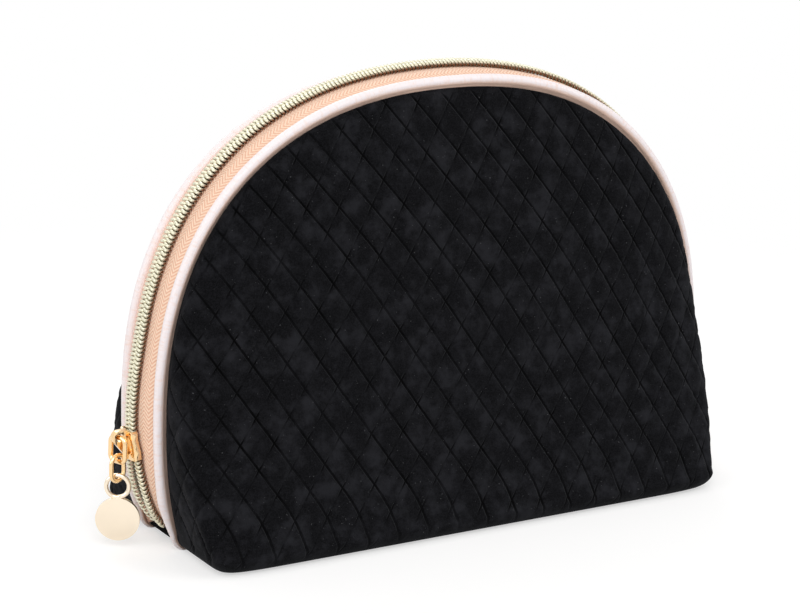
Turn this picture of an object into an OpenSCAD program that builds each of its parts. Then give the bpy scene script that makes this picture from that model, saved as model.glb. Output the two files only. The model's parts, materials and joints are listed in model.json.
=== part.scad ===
// Half-moon jewellery case: two padded velvet halves on a flat base, joined by a coil zip
// that runs over the arch. X is the width, the front faces -Y, Z is up, and the underside
// of the base lies at z = 0.

/* [Case] */
// Half-width of the piped seam arch at its widest level
arch_half_w = 106; // [90:1:120]
// Height of the arch's widest level above the floor
arch_level = 44.5; // [38:0.5:50]
// How far the arch's top stays below a true circle
arch_flat = 0.5; // [0:0.5:3]
// Squareness of the arch, where 2 is an ellipse
arch_square = 2.35; // [2.1:0.05:2.45]
// Distance between the front seam and the back seam
gusset_w = 25; // [23:1:30]
// Depth of the case across its bottom folds
base_depth = 90; // [78:1:104]
// Radius of the bottom folds
fold_r = 6; // [5.5:0.25:8]
// Squareness of the boxed corners at the base
corner_square = 11; // [7:0.5:14]
// Squareness of the halves' sections near the top
top_square = 3.3; // [2.6:0.1:4]

/* [Cloth] */
// Thickness of the velvet
velvet_t = 1; // [0.6:0.1:1.2]
// Thickness of the wadding
wadding_t = 3; // [1.5:0.25:3.25]
// Thickness of the lining
lining_t = 0.6; // [0.4:0.1:0.8]
// Gap left between two layers of cloth
layer_gap = 0.05; // [0.04:0.01:0.1]
// Gap between the base and the ends of the halves
base_side_gap = 0.4; // [0.3:0.05:0.8]
// Gap between the base's upturned ends and the seams
base_end_gap = 0.35; // [0.3:0.05:0.5]
// Angle through which the base's ends turn up
base_end_turn = 84; // [70:1:86]
// Gap between the base and the halves' bottom folds, which swing past it
swing_gap = 2.4; // [2:0.1:4]

/* [Piping] */
// Diameter of the covered piping
piping_d = 4.4; // [3.6:0.1:4.8]
// Thickness of the satin round the cord
satin_t = 0.6; // [0.4:0.05:0.8]
// Gap between the halves' rims and the piping
piping_gap = 0.15; // [0.1:0.05:0.3]
// Width of the seam allowance
allowance = 5; // [3:0.5:6]

/* [Zip] */
// Width of the closed zip chain
chain_w = 6; // [5:0.25:7]
// Thickness of the coil
coil_t = 2.4; // [2:0.1:2.8]
// Pitch of the coil's loops
coil_pitch = 2; // [1.8:0.1:2.4]
// Width of the coil's wire
coil_wire = 0.7; // [0.5:0.05:0.7]
// How far the loops reach past the middle of the chain
coil_reach = 0.6; // [0.4:0.05:0.8]
// Height of the coil's face above the seam at the arch's widest level
zip_proud = 7.6; // [7:0.2:8.4]
// Height of the zip circle's centre above the arch's widest level
zip_lift = 1.6; // [0.8:0.2:2.4]
// Gap between the coil and the tape it is sewn to
coil_seat = 0.02; // [0.02:0.01:0.05]
// Height of the zip's lower ends above the bottom folds
zip_start = 0.5; // [0.4:0.1:2]
// How far the zip's lower ends, past the slider's travel, are drawn in to the seam
zip_draw = 4; // [2:0.25:4.5]
// Thickness of the zip tape
tape_t = 0.8; // [0.5:0.05:0.9]
// Width of level tape beside the chain
tape_face = 2.2; // [1.8:0.1:2.6]
// Gap between the two tapes under the chain
tape_gap = 3.2; // [2.6:0.1:3.6]
// Angle of the closed zip's slider round the arch, from the right
slider_at = 185; // [182:0.5:187]
// How far each row of coil is pulled aside between the slider and its lower end
row_spread = 2.8; // [2.2:0.1:3.4]
// How far each row of coil is pulled aside at its lower end
row_end = 1; // [0.8:0.1:1.5]

/* [Slider] */
// Length of the slider
slider_l = 10; // [9:0.25:12]
// Thickness of the slider's plates and cheeks
plate_t = 1; // [0.8:0.05:1.2]
// Free space round the coil inside the slider
slider_fit = 0.35; // [0.3:0.05:0.5]
// Free space between the slider's cheeks and the tape
tape_fit = 0.9; // [0.85:0.05:1.1]
// Free space between the tape and the slider's lower plate
under_fit = 0.3; // [0.25:0.05:0.4]
// Half-width of the wedge that parts the two rows
wedge_half = 0.8; // [0.6:0.05:0.9]
// Free space between the wedge and a row
wedge_fit = 0.15; // [0.1:0.05:0.25]
// Radius of the upper plate's crowning
crowning_r = 16; // [12:1:20]
// Diameter of the eye in the slider's crown
eye_d = 2.9; // [2.8:0.1:3.2]
// Thickness of metal round the eye
eye_wall = 1; // [0.8:0.05:1.2]
// Width of the slider's crown
crown_w = 2.2; // [1.8:0.1:2.6]

/* [Pull] */
// Diameter of the puller loop's wire
loop_wire = 1.7; // [1.5:0.05:1.75]
// Width of the puller loop
loop_w = 8.4; // [8:0.1:9]
// Height of the puller loop
loop_h = 10; // [9.5:0.1:11]
// Radius of the wire's centre line in the loop's corners
loop_bend = 2; // [1.6:0.1:2.4]
// Diameter of the link's wire
link_wire = 1.5; // [1.3:0.05:1.6]
// Width of the link
link_w = 7.4; // [7.2:0.1:8]
// Height of the link
link_h = 10.4; // [10:0.1:11.5]
// Diameter of the disc
disc_d = 15; // [12:0.5:18]
// Thickness of the disc
disc_t = 1.5; // [1.2:0.1:2]
// Outer diameter of the disc's ring
ring_d = 9.2; // [9:0.1:10]
// Diameter of the ring's wire
ring_wire = 1.5; // [1.3:0.05:1.6]
// How far the ring is sunk into the disc's rim
ring_sink = 0.6; // [0.4:0.05:0.7]
// Free play between the wires of two hanging rings
ring_play = 0.4; // [0.35:0.05:0.5]
// Turn of the loop's face from the side towards the front
loop_turn = 20; // [10:1:22]
// Lean of the loop off the slider
loop_lean = 2; // [0:1:15]
// Turn of the link's face
link_turn = 110; // [106:1:114]
// Turn of the disc's face
disc_turn = 58; // [52:1:62]

/* [Hidden] */

// Colours
VELVET = "#1c1c20";
WADDING = "#f0eee6";
LINING = "#c98f83";
SATIN = "#f3e6ea";
CORD = "#e8e2d6";
TAPE = "#f2c3ab";
COIL = "#d9cf93";
GOLD = "#e2bc7c";

// Grid of the padded halves
COLS = 20;
FOLD_ROWS = 3;
WALL_ROWS = 14;
ROWS = FOLD_ROWS + WALL_ROWS;
LAST_ANGLE = 87;
CORNER_DRAW = 8;

// Shape of the bulge up the wall, and the share of it over which the corners soften
BULGE_RISE = 0.65;
BULGE_FALL = 0.9;
SOFT_SHARE = 0.5;
SOFT_POWER = 2;

// Arch
arch_rise = arch_half_w - arch_flat;
arch_top = arch_level + arch_rise;
seam_y = gusset_w / 2;
bulge = base_depth / 2 - seam_y;
d_velvet = velvet_t;
d_wadding = d_velvet + layer_gap + wadding_t;
d_lining = d_wadding + layer_gap + lining_t;

// Seam stack, from the half's rim inwards along Y
flange_t = satin_t;
flange_y = seam_y - layer_gap - flange_t / 2;
tape_leg_y = seam_y - 2 * layer_gap - flange_t;

// Section of the piping, whose tube starts where the seam allowance meets it
piping_r = piping_d / 2;
piping_out = piping_r + piping_gap;
PIPE_SIDES = 9;
pipe_open = asin(flange_t / 2 / piping_r);
pipe_angles = [for (i = [0 : PIPE_SIDES - 1])
    pipe_open + (360 - 2 * pipe_open) * i / (PIPE_SIDES - 1)];
bore_angles = concat(pipe_angles, [360 - pipe_open / 2, 360 + pipe_open / 2]);

// Zip circle
zip_r = arch_half_w + zip_proud;
zip_z = arch_level + zip_lift;
tape_r = zip_r - coil_t;
zip_end_z = fold_r + zip_start;
zip_low = asin((zip_z - zip_end_z) / zip_r);
zip_from = -zip_low;
zip_to = 180 + zip_low;
tape_flat = chain_w / 2 + tape_face;
TAPE_STEPS = 64;
COIL_MARGIN = 1;
coil_step = 180 * coil_pitch / (PI * zip_r);
part_x = slider_l * 0.2;
row_start = slider_at - 180 * part_x / (PI * zip_r);
row_wedge = slider_at + 180 * part_x / (PI * zip_r);
row_part = coil_reach + wedge_half + wedge_fit;
row_mid = (row_wedge + zip_to) / 2;
draw_from = slider_at + 180 * (slider_l / 2 + slider_fit) / (PI * zip_r);

// Slider
cheek_t = plate_t * 0.9;
tail_half = chain_w / 2 + slider_fit + cheek_t;
mouth_half = tail_half + row_part;
plan_chamfer = plate_t * 0.6;
mouth_chamfer = plate_t * 0.9;
plate_inset = plate_t * 0.5;
wedge_l = slider_l * 0.3;
crown_r = eye_d / 2 + eye_wall;
crown_sink = eye_wall * 0.1;
eye_x = slider_l * 0.3;
top_z = zip_r + slider_fit + plate_t;
eye_z = top_z + crown_r - crown_sink;
CUT = 1;

// Pull chain, hung from the crown's eye
eye_point = [cos(slider_at) * eye_z + sin(slider_at) * eye_x, 0,
             zip_z + sin(slider_at) * eye_z - cos(slider_at) * eye_x];
loop_reach = loop_h - loop_wire;
link_eye = eye_point + loop_reach * [-sin(loop_lean) * cos(loop_turn),
                                     -sin(loop_lean) * sin(loop_turn), -cos(loop_lean)];
link_drop = loop_wire / 2 + link_wire / 2 + ring_play;
ring_eye = link_eye - [0, 0, link_h - link_wire - link_drop];
ring_drop = link_wire / 2 + ring_wire / 2 + ring_play;

// ---------------------------------------------------------------- curves

// Signed power, for superellipses
function spow(v, e) = sign(v) * pow(abs(v), e);

// Half-width of the arch at height z, with every edge moved in by d
function rim_x(z, d) =
    (arch_half_w - d)
    * pow(1 - pow(abs(z - arch_level) / (arch_rise - d), arch_square), 1 / arch_square);

// Angle on the arch at which its height is z
function rim_angle(z, d) =
    asin(spow((z - arch_level) / (arch_rise - d), arch_square / 2));

// Point of the arch, as [half-width, height]
function rim_point(t, d) =
    [(arch_half_w - d) * pow(cos(t), 2 / arch_square),
     arch_level + (arch_rise - d) * spow(sin(t), 2 / arch_square)];

// Share of the way up the wall at row k
function wall_share(k) =
    let (t = rim_angle(fold_r, 0), p = rim_point(t + (LAST_ANGLE - t) * k / WALL_ROWS, 0))
    max(0, (p[1] - fold_r) / (arch_top - fold_r));

// Bulge of the outer face at a share of the way up, and of a layer d below it
function bulge_at(q) = bulge * pow(1 - pow(q, BULGE_RISE), BULGE_FALL);
function inner_bulge(b, d) = b * b / (b + d);
function square_at(q) =
    top_square + (corner_square - top_square) * pow(1 - min(1, q / SOFT_SHARE), SOFT_POWER);

// Row j of a layer: [half-width, bulge, height, squareness]
function row(j, d) = j < FOLD_ROWS ? fold_row(-90 + 90 * j / FOLD_ROWS, d)
                                   : wall_row(j - FOLD_ROWS, d);
function fold_row(f, d) =
    let (x0 = rim_x(fold_r, 0) - fold_r, b0 = bulge - fold_r)
    [x0 + (rim_x(fold_r, d) - x0) * cos(f),
     b0 + (inner_bulge(bulge, d) - b0) * cos(f),
     fold_r + (fold_r - d) * sin(f),
     corner_square];
function wall_row(k, d) =
    let (t0 = rim_angle(fold_r, d),
         p = rim_point(t0 + (LAST_ANGLE - t0) * k / WALL_ROWS, d),
         q = wall_share(k))
    [p[0], inner_bulge(bulge_at(q), d), p[1], square_at(q)];

// Column angles from the left rim (-90) over the front to the right, closer at the corners
function column(i) = let (a = -90 + 180 * i / COLS) a + CORNER_DRAW * sin(4 * a);

// Point of a plan section at angle a
function plan_point(half, depth, square, a) =
    let (m = pow(pow(abs(sin(a)), square) + pow(abs(cos(a)), square), 1 / square))
    [half * sin(a) / m, depth * cos(a) / m];

// Grid of one layer of the front half
function layer(d) = [
    for (j = [0 : ROWS])
        let (r = row(j, d))
        [for (i = [0 : COLS])
            let (p = plan_point(r[0], r[1], r[3], column(i)))
            [p[0], -seam_y - p[1], r[2]]]];

// Arch path along the rims of the halves, left to right, as [x, z]
function arch_path() = concat(
    [for (j = [FOLD_ROWS - 1 : ROWS]) [-row(j, 0)[0], row(j, 0)[2]]],
    [for (j = [ROWS : -1 : FOLD_ROWS - 1]) [row(j, 0)[0], row(j, 0)[2]]]);

// Outward normal at station k of a path
function path_normal(path, k) =
    let (a = path[max(0, k - 1)], b = path[min(len(path) - 1, k + 1)], t = b - a)
    [-t[1], t[0]] / norm(t);

// How far a row of coil is pulled aside at an angle round the arch
function smooth(v) = let (c = min(1, max(0, v))) c * c * (3 - 2 * c);
function pulled(psi) =
    row_part * smooth((psi - row_start) / (row_wedge - row_start))
    + (row_spread - row_part) * smooth((psi - row_wedge) / (row_mid - row_wedge))
    - (row_spread - row_end) * smooth((psi - row_mid) / (zip_to - row_mid));

// How far the zip is drawn in at an angle round the arch, alike at both ends, and its slope
function draw_share(psi) = max(0, (abs(psi - 90) + 90 - draw_from) / (zip_to - draw_from));
function drawn(psi) = zip_draw * pow(draw_share(psi), 2);
function draw_slope(psi) =
    sign(psi - 90) * atan(2 * zip_draw * draw_share(psi) * 180 / (PI * zip_r * (zip_to - draw_from)));

// Where the tape leaves its leg to pass clear of the piping, for a level part at [out, y]
function tape_turn(out, y) =
    let (v = [piping_out - out, flange_y - y],
         a = atan2(v[1], v[0]) + asin((piping_r + 2 * layer_gap) / norm(v)))
    min(0, out + (tape_leg_y - y) / tan(a));

// ---------------------------------------------------------------- solids

// Closed solid between two grids of the same size
module slab(outer, inner) {
    rows = len(outer);
    cols = len(outer[0]);
    off = rows * cols;
    points = concat([for (r = outer) for (p = r) p], [for (r = inner) for (p = r) p]);
    faces = concat(
        [for (j = [0 : rows - 2]) for (i = [0 : cols - 2]) for (f = grid_pair(j, i, cols, 0)) f],
        [for (j = [0 : rows - 2]) for (i = [0 : cols - 2])
            for (f = grid_pair(j, i, cols, off)) [f[2], f[1], f[0]]],
        [for (i = [0 : cols - 2]) for (f = edge_pair(i, i + 1, off)) f],
        [for (i = [0 : cols - 2])
            for (f = edge_pair((rows - 1) * cols + i + 1, (rows - 1) * cols + i, off)) f],
        [for (j = [0 : rows - 2]) for (f = edge_pair((j + 1) * cols, j * cols, off)) f],
        [for (j = [0 : rows - 2])
            for (f = edge_pair(j * cols + cols - 1, (j + 1) * cols + cols - 1, off)) f]);
    polyhedron(points, faces);
}
function grid_pair(j, i, cols, off) =
    let (a = off + j * cols + i, b = a + 1, c = a + cols + 1, d = a + cols)
    [[a, d, c], [a, c, b]];
function edge_pair(a, b, off) = [[a, b, b + off], [a, b + off, a + off]];

// Solid swept through closed sections; cap lists the triangles that close an end
module swept(sections, cap) {
    n = len(sections[0]);
    last = (len(sections) - 1) * n;
    faces = concat(
        [for (k = [0 : len(sections) - 2]) for (i = [0 : n - 1])
            for (f = loop_pair(k * n, i, n)) f],
        [for (c = cap) [c[2], c[1], c[0]]],
        [for (c = cap) [last + c[0], last + c[1], last + c[2]]]);
    polyhedron([for (s = sections) for (p = s) p], faces);
}
function loop_pair(base, i, n) =
    let (a = base + i, b = base + (i + 1) % n, c = b + n, d = a + n)
    [[a, b, c], [a, c, d]];
function fan(n) = [for (i = [1 : n - 2]) [0, i, i + 1]];

// Hollow solid swept through pairs of closed sections, an outer and an inner one
module sleeve(outer, inner) {
    n = len(outer[0]);
    rows = len(outer);
    off = rows * n;
    last = (rows - 1) * n;
    faces = concat(
        [for (k = [0 : rows - 2]) for (i = [0 : n - 1]) for (f = loop_pair(k * n, i, n)) f],
        [for (k = [0 : rows - 2]) for (i = [0 : n - 1])
            for (f = loop_pair(off + k * n, i, n)) [f[2], f[1], f[0]]],
        [for (i = [0 : n - 1]) for (f = ring_pair(0, i, n, off)) [f[2], f[1], f[0]]],
        [for (i = [0 : n - 1]) for (f = ring_pair(last, i, n, off)) f]);
    polyhedron(concat([for (s = outer) for (p = s) p], [for (s = inner) for (p = s) p]), faces);
}
function ring_pair(base, i, n, off) =
    let (a = base + i, b = base + (i + 1) % n)
    [[a, b, b + off], [a, b + off, a + off]];

// Section point at a place of the arch path, out along its normal and across in Y
function across(p, normal, out, y) = [p[0] + normal[0] * out, y, p[1] + normal[1] * out];

// Local frame on the zip circle: X along the arch, Z out from its centre
module on_arch(psi) translate([0, 0, zip_z]) rotate([0, 90 - psi, 0]) children();

// ---------------------------------------------------------------- halves

module half_layer(from, to) slab(layer(from), layer(to));

module half_piping_cover() {
    path = arch_path();
    bore = piping_r - satin_t;
    outer = [for (k = [0 : len(path) - 1])
        let (n = path_normal(path, k))
        concat([for (a = pipe_angles)
                   across(path[k], n, piping_out - piping_r * cos(a),
                          -flange_y + piping_r * sin(a))],
               [across(path[k], n, -allowance, -flange_y - flange_t / 2),
                across(path[k], n, -allowance, -flange_y + flange_t / 2)])];
    inner = [for (k = [0 : len(path) - 1])
        let (n = path_normal(path, k))
        [for (a = bore_angles)
            across(path[k], n, piping_out - bore * cos(a), -flange_y + bore * sin(a))]];
    sleeve(outer, inner);
}

module half_piping_cord() {
    path = arch_path();
    r = piping_r - satin_t - layer_gap * 2;
    swept([for (k = [0 : len(path) - 1])
              let (n = path_normal(path, k))
              [for (i = [0 : 7])
                  across(path[k], n, piping_out - r * cos(45 * i), -flange_y + r * sin(45 * i))]],
          fan(8));
}

// The tape stands in the seam as a leg, turns over it and runs level under the coil
module half_zip_tape() {
    low = rim_angle(zip_end_z, 0);
    path = [for (k = [0 : TAPE_STEPS])
        let (t = low + (180 - 2 * low) * k / TAPE_STEPS, p = rim_point(min(t, 180 - t), 0))
        [-p[0] * sign(90 - t), p[1]]];
    sections = [for (k = [0 : TAPE_STEPS])
        let (p = path[k], n = path_normal(path, k),
             c = p - [0, zip_z], psi = atan2(c[1], c[0]), round = psi < -90 ? psi + 360 : psi,
             u = [cos(psi), sin(psi)], aside = pulled(round),
             edge = -tape_gap / 2 - aside, flat = -tape_flat - aside * 0.5,
             face = tape_r - drawn(round),
             turn = tape_turn(([0, zip_z] + face * u - p) * n, -flat))
        [across(p, n, -allowance, -tape_leg_y),
         across(p, n, turn, -tape_leg_y),
         across([0, zip_z], u, face, flat),
         across([0, zip_z], u, face, edge),
         across([0, zip_z], u, face - tape_t, edge),
         across([0, zip_z], u, face - tape_t, flat),
         across(p, n, turn - tape_t, -tape_leg_y + tape_t),
         across(p, n, -allowance, -tape_leg_y + tape_t)]];
    swept(sections, [[0, 1, 6], [0, 6, 7], [1, 2, 5], [1, 5, 6], [2, 3, 4], [2, 4, 5]]);
}

// One loop of the coil, seen from outside: a slanted shank and a straight head. Its foot lies
// at z = 0
module coil_loop() {
    w = coil_wire / 2;
    foot = -chain_w / 2;
    knee = -coil_reach - w / 2;
    slant = coil_pitch * 0.3;
    linear_extrude(coil_t - coil_seat)
        polygon([[-w - slant, foot], [w - slant, foot], [w, knee], [w, coil_reach - w],
                 [w / 2, coil_reach], [-w / 2, coil_reach], [-w, coil_reach - w],
                 [-w, knee]]);
}

// phase is the share of a pitch by which the row is moved on
module half_zip_coil(phase) {
    count = floor((zip_to - zip_from - 2 * COIL_MARGIN) / coil_step - 1);
    for (k = [0 : count])
        let (psi = zip_from + COIL_MARGIN + (k + phase) * coil_step)
        on_arch(psi) translate([0, -pulled(psi), tape_r + coil_seat - drawn(psi)])
            rotate([0, -draw_slope(psi), 0]) coil_loop();
}

module back() mirror([0, 1, 0]) children();

// ---------------------------------------------------------------- base

base_half_w = rim_x(fold_r, 0) - fold_r - base_side_gap;

// Plate with the outline of the halves' bottom edges, set in by the swing gap
module base_layer(from, to) {
    depth = bulge - fold_r - swing_gap;
    quarter = [for (i = [0 : COLS])
        let (p = plan_point(base_half_w, depth, corner_square, column(i)))
        [p[0], -seam_y - p[1]]];
    other = [for (i = [COLS : -1 : 0]) [quarter[i][0], -quarter[i][1]]];
    translate([0, 0, from]) linear_extrude(to - from) polygon(concat(quarter, other));
}

// Strip of the base that turns up at its right end, between the seams and round their fold
module base_end(from, to) {
    half = flange_y - flange_t / 2 - base_end_gap;
    translate([base_half_w, 0, fold_r]) rotate([90, 0, 0]) rotate([0, 0, -90])
        rotate_extrude(angle = base_end_turn, $fn = 96)
            translate([fold_r - to, -half]) square([to - from, 2 * half]);
}

// ---------------------------------------------------------------- slider

// Plan of the slider, grown by g; the mouth faces -X, the tail +X
module slider_plan(g) {
    l = slider_l / 2;
    side = [[l, tail_half - plan_chamfer + g], [l - plan_chamfer, tail_half + g],
            [part_x, tail_half + g], [-part_x, mouth_half + g],
            [plan_chamfer - l, mouth_half + g], [-l, mouth_half - mouth_chamfer + g]];
    polygon(concat(side, [for (k = [len(side) - 1 : -1 : 0]) [side[k][0], -side[k][1]]]));
}

// Plan of the Y-shaped channel for the coil, open at both ends
module channel_plan() {
    tail = tail_half - cheek_t;
    mouth = mouth_half - cheek_t;
    polygon([[slider_l, tail], [part_x, tail], [-part_x, mouth], [-slider_l, mouth],
             [-slider_l, -mouth], [-part_x, -mouth], [part_x, -tail], [slider_l, -tail]]);
}

module slider_shell() {
    cheek_z = tape_r + tape_fit;
    difference() {
        intersection() {
            translate([0, 0, cheek_z]) linear_extrude(top_z - cheek_z) slider_plan(0);
            translate([-slider_l, 0, top_z - crowning_r]) rotate([0, 90, 0])
                cylinder(r = crowning_r, h = 2 * slider_l, $fn = 96);
        }
        translate([0, 0, cheek_z - CUT])
            linear_extrude(zip_r + slider_fit - cheek_z + CUT)
                channel_plan();
    }
}

module slider_wedge(low) {
    l = slider_l / 2;
    translate([0, 0, low]) linear_extrude(top_z - plate_t / 2 - low)
        polygon([[-l + plate_inset, -wedge_half], [-l + wedge_l * 0.6, -wedge_half],
                 [-l + wedge_l, 0], [-l + wedge_l * 0.6, wedge_half],
                 [-l + plate_inset, wedge_half]]);
}

module crown() {
    rotate([90, 0, 0]) linear_extrude(crown_w, center = true)
        difference() {
            union() {
                translate([eye_x, eye_z]) circle(crown_r, $fn = 48);
                polygon([[-slider_l * 0.4, top_z - plate_t / 2],
                         [-slider_l * 0.4, top_z + crown_r * 0.2],
                         [-slider_l * 0.3, top_z + crown_r * 0.5],
                         [eye_x - crown_r * 0.35, eye_z + crown_r * 0.93],
                         [eye_x, eye_z], [eye_x + crown_r * 0.98, eye_z - crown_r * 0.2],
                         [eye_x + crown_r * 0.98, top_z - plate_t / 2]]);
            }
            translate([eye_x, eye_z]) circle(eye_d / 2, $fn = 48);
        }
}

module slider_body() {
    low = tape_r - tape_t - under_fit - plate_t;
    slider_shell();
    translate([0, 0, low]) linear_extrude(plate_t) slider_plan(-plate_inset);
    slider_wedge(low + plate_t / 2);
    crown();
}

// ---------------------------------------------------------------- pull chain

// Ring of round wire with straight sides, standing in the YZ plane with its top wire's
// centre at the origin; bend is the radius of the wire's centre line in the corners
module wire_frame(w, h, wire, bend) {
    half_w = (w - wire) / 2 - bend;
    half_h = (h - wire) / 2 - bend;
    translate([0, 0, -(h - wire) / 2]) rotate([90, 0, 90]) {
        for (q = [0 : 3])
            translate([half_w * (q == 0 || q == 3 ? 1 : -1), half_h * (q < 2 ? 1 : -1), 0])
                rotate(90 * q)
                    rotate_extrude(angle = 90, $fn = 48)
                        translate([bend, 0]) circle(d = wire, $fn = 32);
        for (s = [-1, 1])
            translate([s * (half_w + bend), 0, 0]) rotate([90, 0, 0])
                cylinder(d = wire, h = 2 * half_h, center = true, $fn = 32);
        if (half_w > 0.01)
            for (s = [-1, 1])
                translate([0, s * (half_h + bend), 0]) rotate([0, 90, 0])
                    cylinder(d = wire, h = 2 * half_w, center = true, $fn = 32);
    }
}

// ---------------------------------------------------------------- nodes

module base_panel() color(VELVET) {
    base_layer(0, d_velvet);
    base_end(0, d_velvet);
    mirror([1, 0, 0]) base_end(0, d_velvet);
}
module base_wadding() color(WADDING) base_layer(d_velvet + layer_gap, d_wadding);
module base_lining() color(LINING) base_layer(d_wadding + layer_gap, d_lining);

module front_panel() color(VELVET) half_layer(0, d_velvet);
module front_wadding() color(WADDING) half_layer(d_velvet + layer_gap, d_wadding);
module front_lining() color(LINING) half_layer(d_wadding + layer_gap, d_lining);
module front_piping_cover() color(SATIN) half_piping_cover();
module front_piping_cord() color(CORD) half_piping_cord();
module front_zip_tape() color(TAPE) half_zip_tape();
module front_zip_coil() color(COIL) half_zip_coil(0);

module back_panel() color(VELVET) back() half_layer(0, d_velvet);
module back_wadding() color(WADDING) back() half_layer(d_velvet + layer_gap, d_wadding);
module back_lining() color(LINING) back() half_layer(d_wadding + layer_gap, d_lining);
module back_piping_cover() color(SATIN) back() half_piping_cover();
module back_piping_cord() color(CORD) back() half_piping_cord();
module back_zip_tape() color(TAPE) back() half_zip_tape();
module back_zip_coil() color(COIL) back() half_zip_coil(0.5);

module zip_slider() color(GOLD) on_arch(slider_at) slider_body();
module pull_loop() color(GOLD) translate(eye_point) rotate([0, loop_lean, loop_turn])
    wire_frame(loop_w, loop_h, loop_wire, loop_bend);
module pull_link() color(GOLD) translate(link_eye + [0, 0, link_drop])
    rotate([0, 0, link_turn]) wire_frame(link_w, link_h, link_wire, (link_w - link_wire) / 2);
module pull_disc() color(GOLD) translate(ring_eye + [0, 0, ring_drop]) rotate([0, 0, disc_turn]) {
    translate([0, 0, -(ring_d - ring_wire) / 2]) rotate([0, 90, 0])
        rotate_extrude($fn = 64) translate([(ring_d - ring_wire) / 2, 0]) circle(d = ring_wire, $fn = 32);
    translate([-disc_t / 2, 0, ring_wire / 2 - ring_d + ring_sink - disc_d / 2]) rotate([0, 90, 0])
        cylinder(d = disc_d, h = disc_t, $fn = 96);
}

base_panel();
base_wadding();
base_lining();
front_panel();
front_wadding();
front_lining();
front_piping_cover();
front_piping_cord();
front_zip_tape();
front_zip_coil();
back_panel();
back_wadding();
back_lining();
back_piping_cover();
back_piping_cord();
back_zip_tape();
back_zip_coil();
zip_slider();
pull_loop();
pull_link();
pull_disc();
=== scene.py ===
"""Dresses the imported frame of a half-moon jewellery case: quilted velvet halves and base,
wadding, lining, satin piping, woven zip tapes, a metallised coil, the slider with its pull
chain, and a plain studio. Shapes are worked out in millimetres and put into meshes in metres."""

import json
import math

import bmesh
import bpy
import numpy as np
from bpy.props import FloatProperty, FloatVectorProperty, IntProperty, PointerProperty
from bpy.types import Operator, Panel, PropertyGroup
from mathutils import Matrix, Vector

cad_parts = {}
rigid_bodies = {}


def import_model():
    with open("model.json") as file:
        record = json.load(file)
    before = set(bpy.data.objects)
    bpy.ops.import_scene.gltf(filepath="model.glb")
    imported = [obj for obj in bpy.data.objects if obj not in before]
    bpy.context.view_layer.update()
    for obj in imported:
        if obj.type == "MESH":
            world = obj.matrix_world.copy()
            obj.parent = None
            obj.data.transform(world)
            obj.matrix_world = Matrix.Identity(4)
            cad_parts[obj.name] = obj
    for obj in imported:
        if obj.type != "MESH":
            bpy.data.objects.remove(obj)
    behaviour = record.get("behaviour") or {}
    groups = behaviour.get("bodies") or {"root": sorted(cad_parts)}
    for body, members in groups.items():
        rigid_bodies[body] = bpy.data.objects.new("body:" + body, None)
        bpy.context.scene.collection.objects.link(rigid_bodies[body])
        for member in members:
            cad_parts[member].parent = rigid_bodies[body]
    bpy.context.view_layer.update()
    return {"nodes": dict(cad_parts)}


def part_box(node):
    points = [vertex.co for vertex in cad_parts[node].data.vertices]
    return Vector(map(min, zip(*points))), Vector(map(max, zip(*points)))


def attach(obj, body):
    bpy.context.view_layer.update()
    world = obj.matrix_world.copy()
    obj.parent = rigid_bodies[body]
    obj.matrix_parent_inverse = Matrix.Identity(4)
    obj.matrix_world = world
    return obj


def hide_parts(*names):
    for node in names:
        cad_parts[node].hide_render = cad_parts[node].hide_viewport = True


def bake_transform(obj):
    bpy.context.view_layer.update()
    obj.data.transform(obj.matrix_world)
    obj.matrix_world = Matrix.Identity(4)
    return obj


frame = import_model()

bl_info = {
    "name": "Half-Moon Jewellery Case",
    "version": (1, 0, 0),
    "blender": (4, 5, 0),
    "location": "3D View > Sidebar > Jewellery Case",
    "description": "Builds a quilted velvet jewellery case on its packed frame",
    "category": "Add Mesh",
}

MM = 0.001

# Outline of the halves, as in the frame, in millimetres
HALF_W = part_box("front_panel")[1][0] / MM
DEPTH = -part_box("front_panel")[0][1] / MM
LEVEL = 44.5
RISE = 105.5
ARCH_TOP = LEVEL + RISE
SQUARE = 2.35
SEAM_Y = 12.5
BULGE = DEPTH - SEAM_Y
FOLD_R = 6.0
FLAP_IN = 0.4
ARCH_LAST = 89.9
BASE_CORNER = 15.0
TOP_CORNER = 3.3
SWING_GAP = 2.4
BASE_TURN = 44
VELVET_T = 1.0
WADDING_T = 3.0
LINING_T = 0.6
LAYER_GAP = 0.05
WADDING_D = VELVET_T + LAYER_GAP
LINING_D = WADDING_D + WADDING_T + LAYER_GAP
PIPING_R = 1.8
PIPING_OUT = 2.35
SATIN_T = 0.6
FLANGE_Y = SEAM_Y - LAYER_GAP - SATIN_T / 2
TAPE_LEG_Y = SEAM_Y - 2 * LAYER_GAP - SATIN_T
ALLOWANCE = 5.0
ZIP_R = 113.6
ZIP_Z = 46.1
ZIP_END_Z = 2.2
ZIP_TO = 180 + math.degrees(math.asin((ZIP_Z - ZIP_END_Z) / ZIP_R))
ZIP_DRAW = 5.0
CHAIN_W = 6.0
COIL_T = 2.4
TAPE_T = 0.8
TAPE_R = ZIP_R - COIL_T
TAPE_EDGE = 1.6
TAPE_FLAT = CHAIN_W / 2 + 2.2
COIL_REACH = 0.6
COIL_PITCH = 1.5
COIL_STEP = math.degrees(COIL_PITCH / ZIP_R)
SLIDER_AT = 185.0
ROW_PART = 1.55
ROW_SPREAD = 2.8
ROW_END = 1.0
PART_DEG = math.degrees(2.0 / ZIP_R)
DRAW_FROM = SLIDER_AT + math.degrees(5.35 / ZIP_R)

# Samples of a profile, of a plan section and of the rim before they are spaced evenly
FINE_ROWS = 4001
FINE_TURN = 721
FINE_RIM = 2001

# Grids of the quilted velvet, of the base and of the layers inside, as rows and columns
VELVET_GRID = (241, 321)
BASE_GRID = (81, 221)
INSIDE_GRID = (90, 120)

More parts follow.
